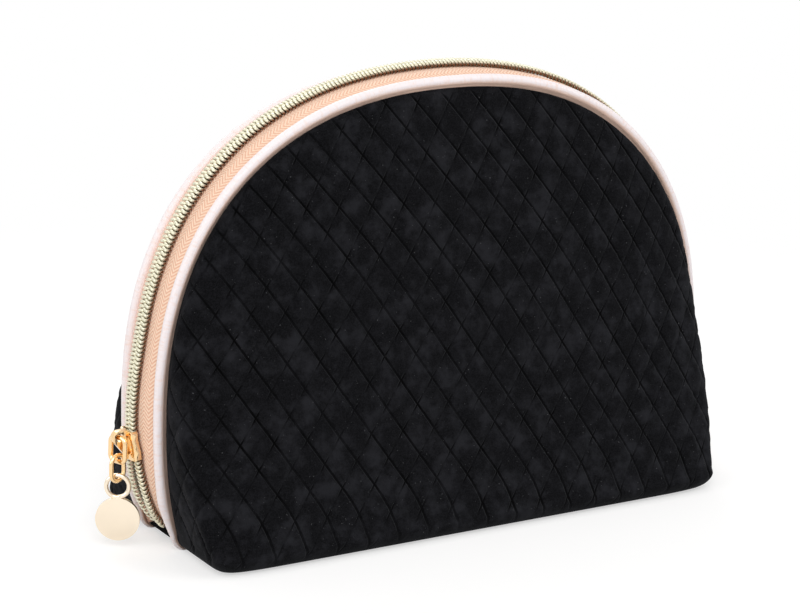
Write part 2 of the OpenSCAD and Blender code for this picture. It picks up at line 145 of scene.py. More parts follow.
# The cloth simulation: every how many rows and columns of the velvet it takes, its frames and
# its settings by Blender's own names
PUFF_STEP = 2
SETTLING_FRAMES = 16
SETTLING = {
    "quality": 4, "mass": 0.15, "vertex_group_mass": "sewn", "tension_stiffness": 12.0,
    "compression_stiffness": 12.0, "shear_stiffness": 5.0, "bending_stiffness": 0.2,
    "shrink_min": -0.035, "use_pressure": True, "uniform_pressure_force": 6.0,
}

# How far the base's wadding and lining end short of its velvet, at the sides and the ends
BASE_MARGIN = 0.6
BASE_SHORT = 4.4

# The base's turned-up ends: first angle, columns and widening of the circle
TURN_FROM = 4
TURN_COLS = 14
TURN_WIDE = 1.06

# The piping's size at its ends as a share, and the length over which it grows to the full size
PIPING_END = 0.08
PIPING_TAPER = 22.0

# Cloth coordinates of the flange's two edges, past those round the satin tube
FLANGE_ROUND = [14.5, 15.5]

# Distance square to the stitch lines as a share of the distance across
FALLING_SQUARE = 0.85
RISING_SQUARE = 0.79

# Camera: place in metres, then yaw, pitch and roll in degrees
CAMERA_AT = (-0.5029, -0.81208, 0.33948)
CAMERA_TURN = (31.314, -15.78, 1.593)

# Lamps: name, place and size in metres, and the setting that holds the power
LAMPS = (
    ("Key", (-0.9, -1.5, 1.7), 1.3, "key"),
    ("Side", (-1.9, -0.1, 0.9), 1.2, "side"),
    ("Fill", (1.5, -1.0, 1.2), 1.2, "fill"),
    ("Back", (0.3, 1.7, 1.5), 1.3, "fill"),
)
AIM = Vector((0, 0, 0.07))

# Floor in millimetres, and the distances in metres between which its shadow fades to white
FLOOR_R = 2600.0
FLOOR_Z = -0.02
SHADOW_FADE = (0.16, 0.42)


# ---- settings


def length(name, about, default, low, high):
    """A size in metres that shows in the scene's own unit."""
    return FloatProperty(
        name=name, description=about, default=default * MM, min=low * MM, max=high * MM,
        precision=5, unit="LENGTH",
    )


def colour(name, about, default):
    """A colour, written as the linear values that the shaders use."""
    return FloatVectorProperty(
        name=name, description=about, default=default, min=0.0, max=1.0, size=3,
        subtype="COLOR",
    )


def amount(name, about, default, low, high):
    """A plain number."""
    return FloatProperty(name=name, description=about, default=default, min=low, max=high)


class CaseQuilting(PropertyGroup):
    falling: length("Falling lines", "Spacing of the lines that fall to the right", 11.5, 6, 20)
    rising: length("Rising lines", "Spacing of the lines that rise to the right", 12.4, 6, 20)
    shift_falling: length("Falling shift", "Moves the falling lines across", 1.65, -12, 12)
    shift_rising: length("Rising shift", "Moves the rising lines across", 1.8, -12, 12)
    puff: length("Puff", "Most that the velvet puffs out between stitch lines", 0.8, 0, 1.5)
    groove: length("Groove depth", "Depth of a stitch line below the puff's foot", 0.3, 0, 0.8)
    groove_w: length("Groove width", "Half-width of a stitch line's crease", 0.28, 0.1, 1)
    velvet: colour("Velvet", "Colour of the velvet's pile", (0.0056, 0.0057, 0.0067))
    lining: colour("Lining", "Colour of the lining", (0.58, 0.28, 0.23))
    wadding: colour("Wadding", "Colour of the wadding", (0.87, 0.85, 0.79))


class CaseTrims(PropertyGroup):
    satin: colour("Satin", "Colour of the piping's satin", (0.94, 0.86, 0.87))
    # Painted shade: the peach that stands for the satin's shade where the piping turns into the
    # seams.
    satin_painted_shade: colour("Satin fold", "Colour of the satin where it turns away", (0.90, 0.64, 0.52))
    cord: colour("Cord", "Colour of the piping's cord", (0.80, 0.76, 0.68))
    tape: colour("Tape", "Colour of the zip tape", (0.98, 0.69, 0.52))
    # Painted shade: the tape down in the seam, and the coil's painted shadow on the tape.
    crease: colour("Crease", "Colour of the tape down in the seam", (0.42, 0.12, 0.07))
    coil: colour("Coil", "Colour of the metallised coil", (0.90, 0.86, 0.66))
    # Painted shade: the brown of the coil where its loops turn down into the tape.
    coil_painted_shade: colour("Coil foot", "Colour of the coil at the tape", (0.17, 0.06, 0.02))
    gold: colour("Gold", "Colour of the slider, its loop and link", (0.92, 0.66, 0.37))
    # Painted reflection: the gold painted paler, as bright light on the disc's flat face.
    disc: colour("Disc", "Colour of the polished disc and its ring", (0.89, 0.775, 0.62))
    stations: IntProperty(
        name="Stations", description="Stations along the zip tape and piping",
        default=420, min=120, max=900,
    )


class CaseStudio(PropertyGroup):
    lens: amount("Lens", "Focal length in millimetres on a 36 mm sensor", 127.5, 35, 300)
    key: amount("Key light", "Power of the key light in watts", 18.0, 0, 200)
    fill: amount("Fill light", "Power of the fill light in watts", 10.0, 0, 200)
    side: amount("Side light", "Power of the light on the zip's side in watts", 10.0, 0, 200)
    sky: amount("Sky", "Strength of the even light from all round", 0.58, 0, 2)


# ---- curves


def smooth_step(v):
    """0 below 0 and 1 above 1, and the cubic 3v^2 - 2v^3 between them."""
    c = np.clip(v, 0.0, 1.0)
    return c * c * (3 - 2 * c)


def signed_power(v, e):
    """The power e of v's size, with v's own sign."""
    return np.sign(v) * np.abs(v) ** e


def rim_x(z, d=0.0):
    """Half-width of the seam's arch at height z, moved in by d: a superellipse."""
    share = np.clip(1 - (np.abs(z - LEVEL) / (RISE - d)) ** SQUARE, 0, None)
    return (HALF_W - d) * share ** (1 / SQUARE)


def rim_angle(z, d=0.0):
    """Angle round the superellipse at which its height is z."""
    return np.arcsin(signed_power((z - LEVEL) / (RISE - d), SQUARE / 2))


def row_profile(s, d=0.0, flap=0.0):
    """Half-width, bulge, height and squareness of rows at stations s of a layer d below the
    outer face. From -2 to -1 the row runs level under the case, from -1 to 0 it follows a
    quarter circle up the bottom fold, and from 0 to 1 it climbs the arch by equal angles.
    The bulge shrinks with the share q of the height as BULGE * (1 - q^0.65)^0.9."""
    s = np.asarray(s, float)
    x0 = rim_x(FOLD_R) - FOLD_R
    b0 = BULGE - FOLD_R
    inner = BULGE * BULGE / (BULGE + d)
    turn = np.radians(90 * np.clip(s, -1, 0))
    in_fold = s < 0
    under = np.clip(-1 - s, 0, 1)
    low, low_in = rim_angle(FOLD_R), rim_angle(FOLD_R, d)
    last = math.radians(ARCH_LAST)
    w = np.clip(s, 0, 1)
    t = low + (last - low) * w
    t_in = low_in + (last - low_in) * w
    q = np.clip((LEVEL + RISE * signed_power(np.sin(t), 2 / SQUARE) - FOLD_R)
                / (ARCH_TOP - FOLD_R), 0, 1)
    bulge = BULGE * (1 - q**0.65) ** 0.9
    wall_half = (HALF_W - d) * np.cos(t_in) ** (2 / SQUARE)
    wall_z = LEVEL + (RISE - d) * signed_power(np.sin(t_in), 2 / SQUARE)
    wall_b = bulge * bulge / np.maximum(bulge + d, 1e-6)
    corner = TOP_CORNER + (BASE_CORNER - TOP_CORNER) * (1 - np.minimum(1, q / 0.5)) ** 2
    fold_half = x0 + (rim_x(FOLD_R, d) - x0) * np.cos(turn) - FLAP_IN * under
    fold_b = b0 + (inner - b0) * np.cos(turn) - flap * under
    fold_z = FOLD_R + (FOLD_R - d) * np.sin(turn)
    return (
        np.where(in_fold, fold_half, wall_half),
        np.where(in_fold, fold_b, wall_b),
        np.where(in_fold, fold_z, wall_z),
        np.where(in_fold, BASE_CORNER, corner),
    )


def joined(*parts):
    """Arrays of coordinates spread to one shape and put together along a new last axis."""
    return np.stack(np.broadcast_arrays(*parts), axis=-1)


def arc_length(*coords):
    """Running length along the last axis of a row of points given by its coordinates."""
    steps = np.sqrt(sum(np.diff(c, axis=-1) ** 2 for c in coords))
    start = np.zeros(steps.shape[:-1] + (1,))
    return np.concatenate([start, np.cumsum(steps, axis=-1)], axis=-1)


def plan_curve(half, depth, square, a):
    """Plan section at angles a from the front: the superellipse (half, depth, square)."""
    m = (np.abs(np.sin(a)) ** square + np.abs(np.cos(a)) ** square) ** (1 / square)
    return half * np.sin(a) / m, depth * np.cos(a) / m


def half_surface(rows, cols, d=0.0, flap=0.0):
    """The front half's cloth, d below its outer face, as (points, across, up). Rows lie at
    equal steps of the mean length of the middle profile and the rim, columns at equal steps of
    each row's own length. Across is the length along a row from its middle, and up the length
    of the middle profile."""
    fine = np.linspace(-2 if flap else -1, 1, FINE_ROWS)
    half, bulge, z, _ = row_profile(fine, d, flap)
    middle = arc_length(bulge, z)
    both = (middle + arc_length(half, z)) / 2
    s = np.interp(np.linspace(0, both[-1], rows), both, fine)
    up = np.interp(s, fine, middle)
    half, bulge, z, square = (c[:, None] for c in row_profile(s, d, flap))
    a = np.radians(np.linspace(-90, 90, FINE_TURN))[None, :]
    x, y = plan_curve(half, bulge, square, a)
    run = arc_length(x, y)
    share = run / run[:, -1:]
    lift = 2.0 * np.arange(rows)[:, None]
    want = np.linspace(0, 1, cols)[None, :] + lift
    angle = np.interp(want.ravel(), (share + lift).ravel(),
                      np.broadcast_to(a, share.shape).ravel()).reshape(rows, cols)
    x, y = plan_curve(half, bulge, square, angle)
    points = joined(x, -SEAM_Y - y, z)
    across = (np.linspace(0, 1, cols)[None, :] - 0.5) * run[:, -1:]
    return points, across, np.broadcast_to(up[:, None], across.shape)


def rim_path(count):
    """Path of the seam's rim from the foot of the fold at the left end over the top to the
    right end, as (x, z), the outward normals and the running length, evenly spaced."""
    fine = np.linspace(-1, 1, FINE_RIM)
    half, _, z, _ = row_profile(fine)
    x = np.concatenate([-half, half[::-1]])
    z = np.concatenate([z, z[::-1]])
    run = arc_length(x, z)
    want = np.linspace(0, run[-1], count)
    path = joined(np.interp(want, run, x), np.interp(want, run, z))
    return path, plane_normals(path), want


def plane_normals(path):
    """Left-hand normals of an (x, z) path: its tangent turned by 90 degrees."""
    t = np.gradient(path, axis=0)
    n = joined(-t[:, 1], t[:, 0])
    return n / np.linalg.norm(n, axis=1, keepdims=True)


def pulled(angle):
    """How far a row of the coil is drawn aside at an angle round the zip, in degrees."""
    start, wedge = SLIDER_AT - PART_DEG, SLIDER_AT + PART_DEG
    middle = (wedge + ZIP_TO) / 2
    return (ROW_PART * smooth_step((angle - start) / (wedge - start))
            + (ROW_SPREAD - ROW_PART) * smooth_step((angle - wedge) / (middle - wedge))
            - (ROW_SPREAD - ROW_END) * smooth_step((angle - middle) / (ZIP_TO - middle)))


def zip_drop(angle):
    """How far the zip lies inside the slider's circle at an angle round it. Past the slider's
    travel it grows with the fourth power of the way to the end. Between the slider's two ends
    the closed zip follows the arch: 0.9 - 0.6 cos 2a - 2.6 cos 4a outside the circle, where a
    is the angle from the top, fading to nothing at the slider."""
    from_top = np.abs(angle - 90)
    share = np.clip((from_top + 90 - DRAW_FROM) / (ZIP_TO - DRAW_FROM), 0, None)
    a = np.radians(from_top)
    outside = 0.9 - 0.6 * np.cos(2 * a) - 2.6 * np.cos(4 * a)
    return ZIP_DRAW * share**4 - smooth_step((92 - from_top) / 22) * outside


def zip_slope(angle):
    """Slope in radians of zip_drop along the zip, from its difference over a tenth of a degree."""
    step = 0.05
    fall = zip_drop(angle + step) - zip_drop(angle - step)
    return np.arctan(fall / (ZIP_R * math.radians(2 * step)))


# ---- meshes


def grid_faces(rows, cols, start=0, wrap=False):
    """Quads of a grid of points stored row by row; wrap joins the last column to the first."""
    i = np.arange(rows - 1)[:, None]
    j = np.arange(cols if wrap else cols - 1)[None, :]
    k = (j + 1) % cols
    a, b = i * cols + j, i * cols + k
    return joined(a, b, b + cols, a + cols).reshape(-1, 4) + start


def surface_normals(points):
    """Unit normals of a grid: the cross product of its differences along columns and rows."""
    n = np.cross(np.gradient(points, axis=1), np.gradient(points, axis=0))
    size = np.linalg.norm(n, axis=-1, keepdims=True)
    return n / np.maximum(size, 1e-9)


def border(rows, cols):
    """Point numbers round a grid's edge, in the turning sense of its faces."""
    low = np.arange(cols)
    right = np.arange(1, rows) * cols + cols - 1
    top = (rows - 1) * cols + np.arange(cols - 2, -1, -1)
    left = np.arange(rows - 2, 0, -1) * cols
    return np.concatenate([low, right, top, left])


def closed_shell(outer, inner):
    """Points and faces of a closed sheet between two grids of the same size. Outer faces
    turn as grid_faces does, inner faces the other way, and a band joins their edges."""
    rows, cols = outer.shape[:2]
    count = rows * cols
    ring = border(rows, cols)
    after = np.roll(ring, -1)
    band = joined(ring, ring + count, after + count, after)
    faces = np.concatenate([grid_faces(rows, cols), grid_faces(rows, cols, count)[:, ::-1], band])
    return np.concatenate([outer.reshape(-1, 3), inner.reshape(-1, 3)]), faces


def twice(values):
    """Values of the points of one face of a closed_shell, for both its faces."""
    return np.concatenate([values, values])


def grid_uv(along, across):
    """Cloth coordinates of a grid from the length along each row and across each column."""
    return joined(along[:, None], across[None, :]).reshape(-1, 2)


def make_mesh(name, points, faces, uv=None, tint=None, stitches=None):
    """Puts points in millimetres and an array of equal-sided faces into a mesh in metres. uv
    holds two numbers a point, in millimetres of cloth, tint one number a point, the
    mask of painted light and shade, and stitches the two stitch counts of a point."""
    mesh = bpy.data.meshes.new(name)
    blocks = faces if isinstance(faces, list) else [faces]
    loops = np.concatenate([b.ravel() for b in blocks]).astype(np.int32)
    sizes = np.concatenate([np.full(len(b), b.shape[1]) for b in blocks])
    starts = np.concatenate([[0], np.cumsum(sizes)[:-1]]).astype(np.int32)
    mesh.vertices.add(len(points))
    mesh.vertices.foreach_set("co", (np.asarray(points, float) * MM).astype(np.float32).ravel())
    mesh.loops.add(len(loops))
    mesh.loops.foreach_set("vertex_index", loops)
    mesh.polygons.add(len(starts))
    mesh.polygons.foreach_set("loop_start", starts)
    mesh.update(calc_edges=True)
    mesh.polygons.foreach_set("use_smooth", np.ones(len(starts), bool))
    for kind, pairs in (("cloth", uv), ("stitches", stitches)):
        if pairs is not None:
            layer = mesh.uv_layers.new(name=kind)
            layer.data.foreach_set("uv", np.asarray(pairs, np.float32)[loops].ravel())
    if tint is not None:
        layer = mesh.attributes.new("tint", "FLOAT", "POINT")
        layer.data.foreach_set("value", np.asarray(tint, np.float32).ravel())
    mesh.validate()
    mesh.update()
    return mesh


def mirror_y(points, faces):
    """The same shape on the other side of the XZ plane, with its faces turned back outwards."""
    flipped = points * np.array([1.0, -1.0, 1.0])
    if isinstance(faces, list):
        return flipped, [f[:, ::-1] for f in faces]
    return flipped, faces[:, ::-1]


def add_piece(name, mesh, material, nodes):
    """Object at the origin with its finish, standing for its CAD nodes."""
    for old in [o for o in bpy.data.objects if o.name == name]:
        bpy.data.objects.remove(old)
    piece = bpy.data.objects.new(name, mesh)
    bpy.context.scene.collection.objects.link(piece)
    mesh.materials.append(material)
    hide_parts(*nodes)
    return piece


def add_cloth_pair(stem, points, faces, material, uv=None, tint=None, stitches=None):
    """The front half's piece and its mirror image on the back half."""
    made = []
    for side, sign in (("front", -1.0), ("back", 1.0)):
        own, turned = (points, faces) if side == "front" else mirror_y(points, faces)
        mesh = make_mesh(f"{side}_{stem}_piece", own, turned, uv, tint, stitches=stitches)
        piece = add_piece(f"{side}_{stem}_dressed", mesh, material, [f"{side}_{stem}"])
        made.append(piece)
        bend_over_fold(piece)
    return made


def bend_over_fold(piece):
    """Bakes the piece's transform into its mesh."""
    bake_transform(piece)


# ---- finishes


class Nodes:
    """The nodes of a material or world, with a short call for each kind used here."""

    def __init__(self, owner, shader="Principled BSDF"):
        self.owner = owner
        owner.use_nodes = True
        self.tree = owner.node_tree
        self.shader = self.tree.nodes[shader]

    def node(self, kind, inputs=None, **settings):
        n = self.tree.nodes.new(kind)
        for key, value in settings.items():
            setattr(n, key, value)
        for key, value in (inputs or {}).items():
            self.put(n.inputs[key], value)
        return n

    def put(self, socket, value):
        if isinstance(value, bpy.types.NodeSocket):
            self.tree.links.new(value, socket)
        elif socket.type == "RGBA" and len(value) == 3:
            socket.default_value = (*value, 1.0)
        else:
            socket.default_value = value

    def math(self, operation, a, b=0.0, c=0.0):
        return self.node("ShaderNodeMath", {0: a, 1: b, 2: c}, operation=operation).outputs[0]

    def plus(self, a, b):
        return self.math("ADD", a, b)

    def times(self, a, b):
        return self.math("MULTIPLY", a, b)

    def sine(self, a):
        return self.math("SINE", a)

    def ramp(self, value, low, high, to_low=0.0, to_high=1.0):
        return self.node("ShaderNodeMapRange", {
            "Value": value, "From Min": low, "From Max": high, "To Min": to_low, "To Max": to_high,
        }, interpolation_type="SMOOTHSTEP").outputs["Result"]

    def mix(self, factor, a, b):
        n = self.tree.nodes.new("ShaderNodeMix")
        n.data_type = "RGBA"
        self.put(n.inputs[0], factor)
        self.put(n.inputs[6], a)
        self.put(n.inputs[7], b)
        return n.outputs[2]

    def place(self):
        return self.node("ShaderNodeTexCoord").outputs["Object"]

    def cloth(self):
        """The piece's own cloth coordinates in millimetres, as (both, along, across)."""
        uv = self.node("ShaderNodeUVMap", uv_map="cloth").outputs["UV"]
        parts = self.node("ShaderNodeSeparateXYZ", {0: uv})
        return uv, parts.outputs[0], parts.outputs[1]

    # The mask of painted light and shade that a piece carries in its points.
    def tint(self):
        return self.node("ShaderNodeAttribute", attribute_name="tint").outputs["Fac"]

    def noise(self, scale, detail=3.0, roughness=0.55):
        return self.node("ShaderNodeTexNoise", {
            "Vector": self.place(), "Scale": scale, "Detail": detail,
            "Roughness": roughness,
        }).outputs["Fac"]

    def bump(self, height, distance, strength=1.0, normal=None):
        inputs = {"Height": height, "Distance": distance, "Strength": strength}
        if normal is not None:
            inputs["Normal"] = normal
        return self.node("ShaderNodeBump", inputs).outputs["Normal"]

    def finish(self, **sockets):
        for key, value in sockets.items():
            self.put(self.shader.inputs[key.replace("_", " ")], value)
        return self.owner

    def watched(self):
        """1 for rays from the camera and those in metal or glass, 0 for the rest."""
        path = self.node("ShaderNodeLightPath").outputs
        return self.math("MAXIMUM", path["Is Camera Ray"],
                         self.math("MAXIMUM", path["Is Glossy Ray"], path["Is Transmission Ray"]))

    def show(self, plain, seen, output):
        """Sends plain to the tree's output, and seen in its place for watched rays."""
        both = self.node("ShaderNodeMixShader", {0: self.watched(), 1: plain, 2: seen})
        self.tree.links.new(both.outputs[0], self.tree.nodes[output].inputs["Surface"])


def finish(name):
    """The function below it fills in the material of that name the first time it is called,
    and every later call gives the same material."""

    def wrap(build):
        def get(settings):
            made = bpy.data.materials.get(name)
            return made or build(Nodes(bpy.data.materials.new(name)), settings)

        return get

    return wrap


def darker(c, k):
    """The colour c times k."""
    return tuple(min(1.0, v * k) for v in c)


def painted_stitch_shade(n, quilt):
    """How near a point is to a stitch line, from 0 to 1, with both families coming and going
    along their length and the rising one nearly dying out between crossings. It is the mask of
    the painted shade in the creases and of their groove bump, held off the seams by the
    tint mask."""
    counts = n.node("ShaderNodeUVMap", uv_map="stitches").outputs["UV"]
    parts = n.node("ShaderNodeSeparateXYZ", {0: counts})
    shades = []
    for own, other, space, strong, weak, wide in (
        (0, 1, quilt.falling / MM * FALLING_SQUARE, 1.0, 0.75, 0.62),
        (1, 0, quilt.rising / MM * RISING_SQUARE, 0.95, 0.15, 0.48),
    ):
        off = n.math("PINGPONG", parts.outputs[own], 0.5)
        away = n.times(off, space)
        line = n.ramp(away, wide * 0.35, wide, 1.0, 0.0)
        along = n.math("PINGPONG", parts.outputs[other], 0.5)
        pull = n.ramp(along, 0.05, 0.42, strong, weak)
        patch = n.ramp(n.noise(55.0, detail=2.0), 0.35, 0.65, 0.55, 1.0)
        shades.append(n.times(line, n.times(pull, patch)))
    return n.times(n.math("MAXIMUM", shades[0], shades[1]), n.tint())


@finish("Velvet")
def velvet_finish(n, quilt):
    """Short black pile: fine speckled colour, lighter patches at random as a painted sheen of pile
    lying the other way, a few light flecks, sheen, and stitch lines painted near black as shade
    in their creases."""
    base = quilt.velvet
    grain = n.noise(2600.0, detail=2.0)
    # Painted sheen: lighter patches at random where the pile lies the other way.
    painted_sheen_patches = n.ramp(n.noise(120.0, detail=5.0, roughness=0.65), 0.42, 0.70)
    shade = n.mix(n.ramp(grain, 0.35, 0.75), darker(base, 0.4), darker(base, 1.9))
    shade = n.mix(n.times(painted_sheen_patches, 0.85), shade, darker(base, 3.2))
    fleck = n.ramp(n.noise(1900.0, detail=0.0), 0.83, 0.86, 0.0, 0.5)
    shade = n.mix(fleck, shade, (0.16, 0.16, 0.17))
    # Painted shade: the stitch creases go near black in the colour, and the same mask sinks them in
    # the bump.
    line = painted_stitch_shade(n, quilt)
    shade = n.mix(line, shade, darker(base, 0.06))
    height = n.plus(n.times(grain, 0.7), n.noise(420.0, detail=2.0))
    pile = n.bump(height, 0.00012, 0.8)
    return n.finish(
        Base_Color=shade, Roughness=0.95, Specular_IOR_Level=0.04,
        Sheen_Weight=0.05, Sheen_Roughness=0.5, Sheen_Tint=(0.80, 0.82, 0.88),
        Normal=n.bump(n.math("SUBTRACT", 1.0, line), 0.00045, 0.9, pile),
    )


@finish("Lining weave")
def lining_finish(n, quilt):
    """Plain woven lining with a fine grid of threads and a low sheen."""
    base = quilt.lining
    _, u, v = n.cloth()
    threads = n.times(n.sine(n.times(u, 12.0)),
                     n.sine(n.times(v, 12.0)))
    shade = n.mix(n.ramp(threads, -0.6, 0.6), darker(base, 0.82), darker(base, 1.12))
    return n.finish(Base_Color=shade, Roughness=0.55, Sheen_Weight=0.25, Sheen_Roughness=0.4,
                    Normal=n.bump(threads, 0.00006, 0.6))


@finish("Wadding fibre")
def wadding_finish(n, quilt):
    """Loose white fibres."""
    base = quilt.wadding
    fibre = n.noise(900.0, detail=6.0, roughness=0.75)
    return n.finish(Base_Color=n.mix(fibre, darker(base, 0.8), base), Roughness=0.95,
                    Normal=n.bump(fibre, 0.0004, 0.8))


@finish("Piping satin")
def satin_finish(n, trims):
    """Piping satin: a bright band along the crown and painted peach shade where it turns down
    into the seams, with streaks along it and small puckers from the stitching, painted darker."""
    uv = n.cloth()[0]

    def streaks(scale, detail):
        where = n.node("ShaderNodeMapping", {"Vector": uv, "Scale": scale}).outputs[0]
        return n.node("ShaderNodeTexNoise", {"Vector": where, "Scale": 1.0, "Detail": detail,
                                             "Roughness": 0.6}).outputs["Fac"]

    pucker = streaks((0.9, 0.3, 1.0), 4.0)
    threads = streaks((0.16, 2.6, 1.0), 2.0)
    # Painted shade: bright satin on the crown, painted peach shade down the sides.
    crown = n.ramp(n.plus(n.tint(), n.times(threads, 0.35)), 0.35, 0.75)
    shade = n.mix(crown, trims.satin_painted_shade, trims.satin)
    # Painted shade in the puckers.
    shade = n.mix(n.ramp(pucker, 0.45, 0.75, 0.0, 0.5), shade, trims.satin_painted_shade)
    height = n.plus(pucker, n.times(threads, 0.6))
    return n.finish(Base_Color=shade, Roughness=0.34, Specular_IOR_Level=0.5, Sheen_Weight=0.15,
                    Sheen_Roughness=0.3, Normal=n.bump(height, 0.0003, 0.6))


@finish("Piping cord")
def cord_finish(n, trims):
    """Cotton cord with a slanted twist."""
    _, u, v = n.cloth()
    twist = n.sine(n.plus(n.times(u, 2.2), n.times(v, 1.4)))
    base = trims.cord
    return n.finish(Base_Color=n.mix(n.ramp(twist, -1, 1), darker(base, 0.7), base),
                    Roughness=0.9, Normal=n.bump(twist, 0.0003, 0.8))


@finish("Zip tape weave")
def tape_finish(n, trims):
    """Herringbone tape: slanted threads that turn back every 2.1 mm across the tape, painted
    shade in the seam and a brown painted shadow under the coil's turn."""
    _, u, v = n.cloth()
    zig = n.math("PINGPONG", v, 2.1)
    slant = n.sine(n.times(n.plus(u, zig), 4.6))
    fine = n.sine(n.times(n.math("SUBTRACT", u, v), 13.0))
    base = trims.tape
    weave = n.mix(n.ramp(slant, -0.9, 0.6), (base[0] * 0.86, base[1] * 0.68, base[2] * 0.6),
                  darker(base, 1.05))
    weave = n.mix(n.ramp(n.noise(500.0), 0.3, 0.7, 0.0, 0.2), weave, darker(base, 0.9))
    # Painted shade in the seam and painted shadow of the coil, in the crease colour.
    shade = n.mix(n.tint(), weave, trims.crease)
    height = n.plus(slant, n.times(fine, 0.25))
    return n.finish(Base_Color=shade, Roughness=0.62, Sheen_Weight=0.3, Sheen_Roughness=0.4,
                    Sheen_Tint=(1.0, 0.9, 0.85), Normal=n.bump(height, 0.00012, 0.7))


@finish("Metallised coil")
def coil_finish(n, trims):
    """Pale gold metallised nylon, with painted brown shade where the loops turn down into
    the tape.
    """
    base, foot = trims.coil, trims.coil_painted_shade
    worn = n.ramp(n.noise(1400.0, detail=4.0), 0.35, 0.75)
    shade = n.mix(worn, darker(base, 0.8), darker(base, 1.08))
    shade = n.mix(n.tint(), shade, foot)
    return n.finish(Base_Color=shade, Metallic=0.45, Roughness=0.28,
                    Normal=n.bump(n.noise(2200.0), 0.00004, 0.5))


def polished(n, base):
    """Polished plating with faint handling marks."""
    marks = n.noise(160.0, detail=3.0, roughness=0.6)
    shade = n.mix(n.ramp(marks, 0.3, 0.8), darker(base, 0.985), darker(base, 1.02))
    return n.finish(Base_Color=shade, Metallic=1.0, Roughness=n.ramp(marks, 0.3, 0.8, 0.11, 0.16),
                    Normal=n.bump(marks, 0.000004, 0.3))


@finish("Gold plating")
def gold_finish(n, trims):
    """Gold of the slider, its loop and link."""
    return polished(n, trims.gold)


@finish("Pale gold plating")
def disc_painted_reflection_finish(n, trims):
    """The same gold painted paler on the disc and its ring: a painted reflection of bright light.
    """
    return polished(n, trims.disc)


# ---- quilting


def eased_run(v):
    """Running sum of smooth_step from 0: v^3 - v^4 / 2 up to 1, and v - 1/2 beyond it."""
    c = np.clip(v, 0.0, 1.0)
    return c**3 - c**4 / 2 + np.clip(v - 1, 0, None)


def stitch_counts(across, up, quilt):
    """Where a point lies among the falling and the rising stitch lines, in lines. Both count
    across / spacing, squeezed together towards the right, plus or minus a share of the height.
    The falling lines run straight down near the bottom, and both turn near the top."""
    high = up - SWING_GAP
    squeezed = 0.97 * across + 0.00107 * np.clip(across, 0, None) ** 2
    turn = 9.0 * eased_run((high - 75) / 50)
    fall = 0.62 * 25 * eased_run((high - 5) / 25) + turn
    climb = 0.78 * high - turn
    return ((squeezed + fall - quilt.shift_falling / MM) / (quilt.falling / MM),
            (squeezed - climb - quilt.shift_rising / MM) / (quilt.rising / MM))


def line_distances(counts, quilt):
    """Distances in millimetres, square to the lines, to the nearest line of either family."""
    return [np.abs(c - np.round(c)) * space / MM * share
            for c, space, share in zip(counts, (quilt.falling, quilt.rising),
                                       (FALLING_SQUARE, RISING_SQUARE))]


def between_rows(coarse, rows, cols):
    """A grid of values spread over a finer grid of rows by cols by straight lines both ways."""
    r = np.linspace(0, coarse.shape[0] - 1, rows)
    c = np.linspace(0, coarse.shape[1] - 1, cols)
    i = np.minimum(r.astype(int), coarse.shape[0] - 2)
    j = np.minimum(c.astype(int), coarse.shape[1] - 2)
    u, v = (r - i)[:, None], (c - j)[None, :]
    low = coarse[i][:, j] * (1 - v) + coarse[i][:, j + 1] * v
    high = coarse[i + 1][:, j] * (1 - v) + coarse[i + 1][:, j + 1] * v
    return low * (1 - u) + high * u


def settled_puff(points, normals, sewn, most):
    """Height in millimetres of velvet that is held where it is sewn and pressed outwards by
    the wadding in a cloth simulation: the way each point moves along its normal, at most
    most."""
    rows, cols = sewn.shape
    mesh = make_mesh("settling", points.reshape(-1, 3), grid_faces(rows, cols))
    cloth_piece = bpy.data.objects.new("settling", mesh)
    scene = bpy.context.scene
    scene.collection.objects.link(cloth_piece)
    held = cloth_piece.vertex_groups.new(name="sewn")
    for weight in (0.25, 0.5, 0.75, 1.0):
        points_held = np.flatnonzero(np.round(sewn.ravel() * 4) == weight * 4)
        held.add(points_held.tolist(), weight, "REPLACE")
    cloth = cloth_piece.modifiers.new("Settle", "CLOTH")
    for key, value in SETTLING.items():
        setattr(cloth.settings, key, value)
    cloth.settings.effector_weights.gravity = 0.0
    cloth.collision_settings.use_collision = False
    cloth.point_cache.frame_start, cloth.point_cache.frame_end = 1, SETTLING_FRAMES
    for number in range(1, SETTLING_FRAMES + 1):
        scene.frame_set(number)
    settled = cloth_piece.evaluated_get(bpy.context.evaluated_depsgraph_get()).data
    moved = np.empty(rows * cols * 3, np.float32)
    settled.vertices.foreach_get("co", moved)
    moved = moved.reshape(rows, cols, 3) / MM - points
    scene.frame_set(1)
    bpy.data.objects.remove(cloth_piece)
    bpy.data.meshes.remove(mesh)
    return np.clip((moved * normals).sum(axis=-1), 0, most)


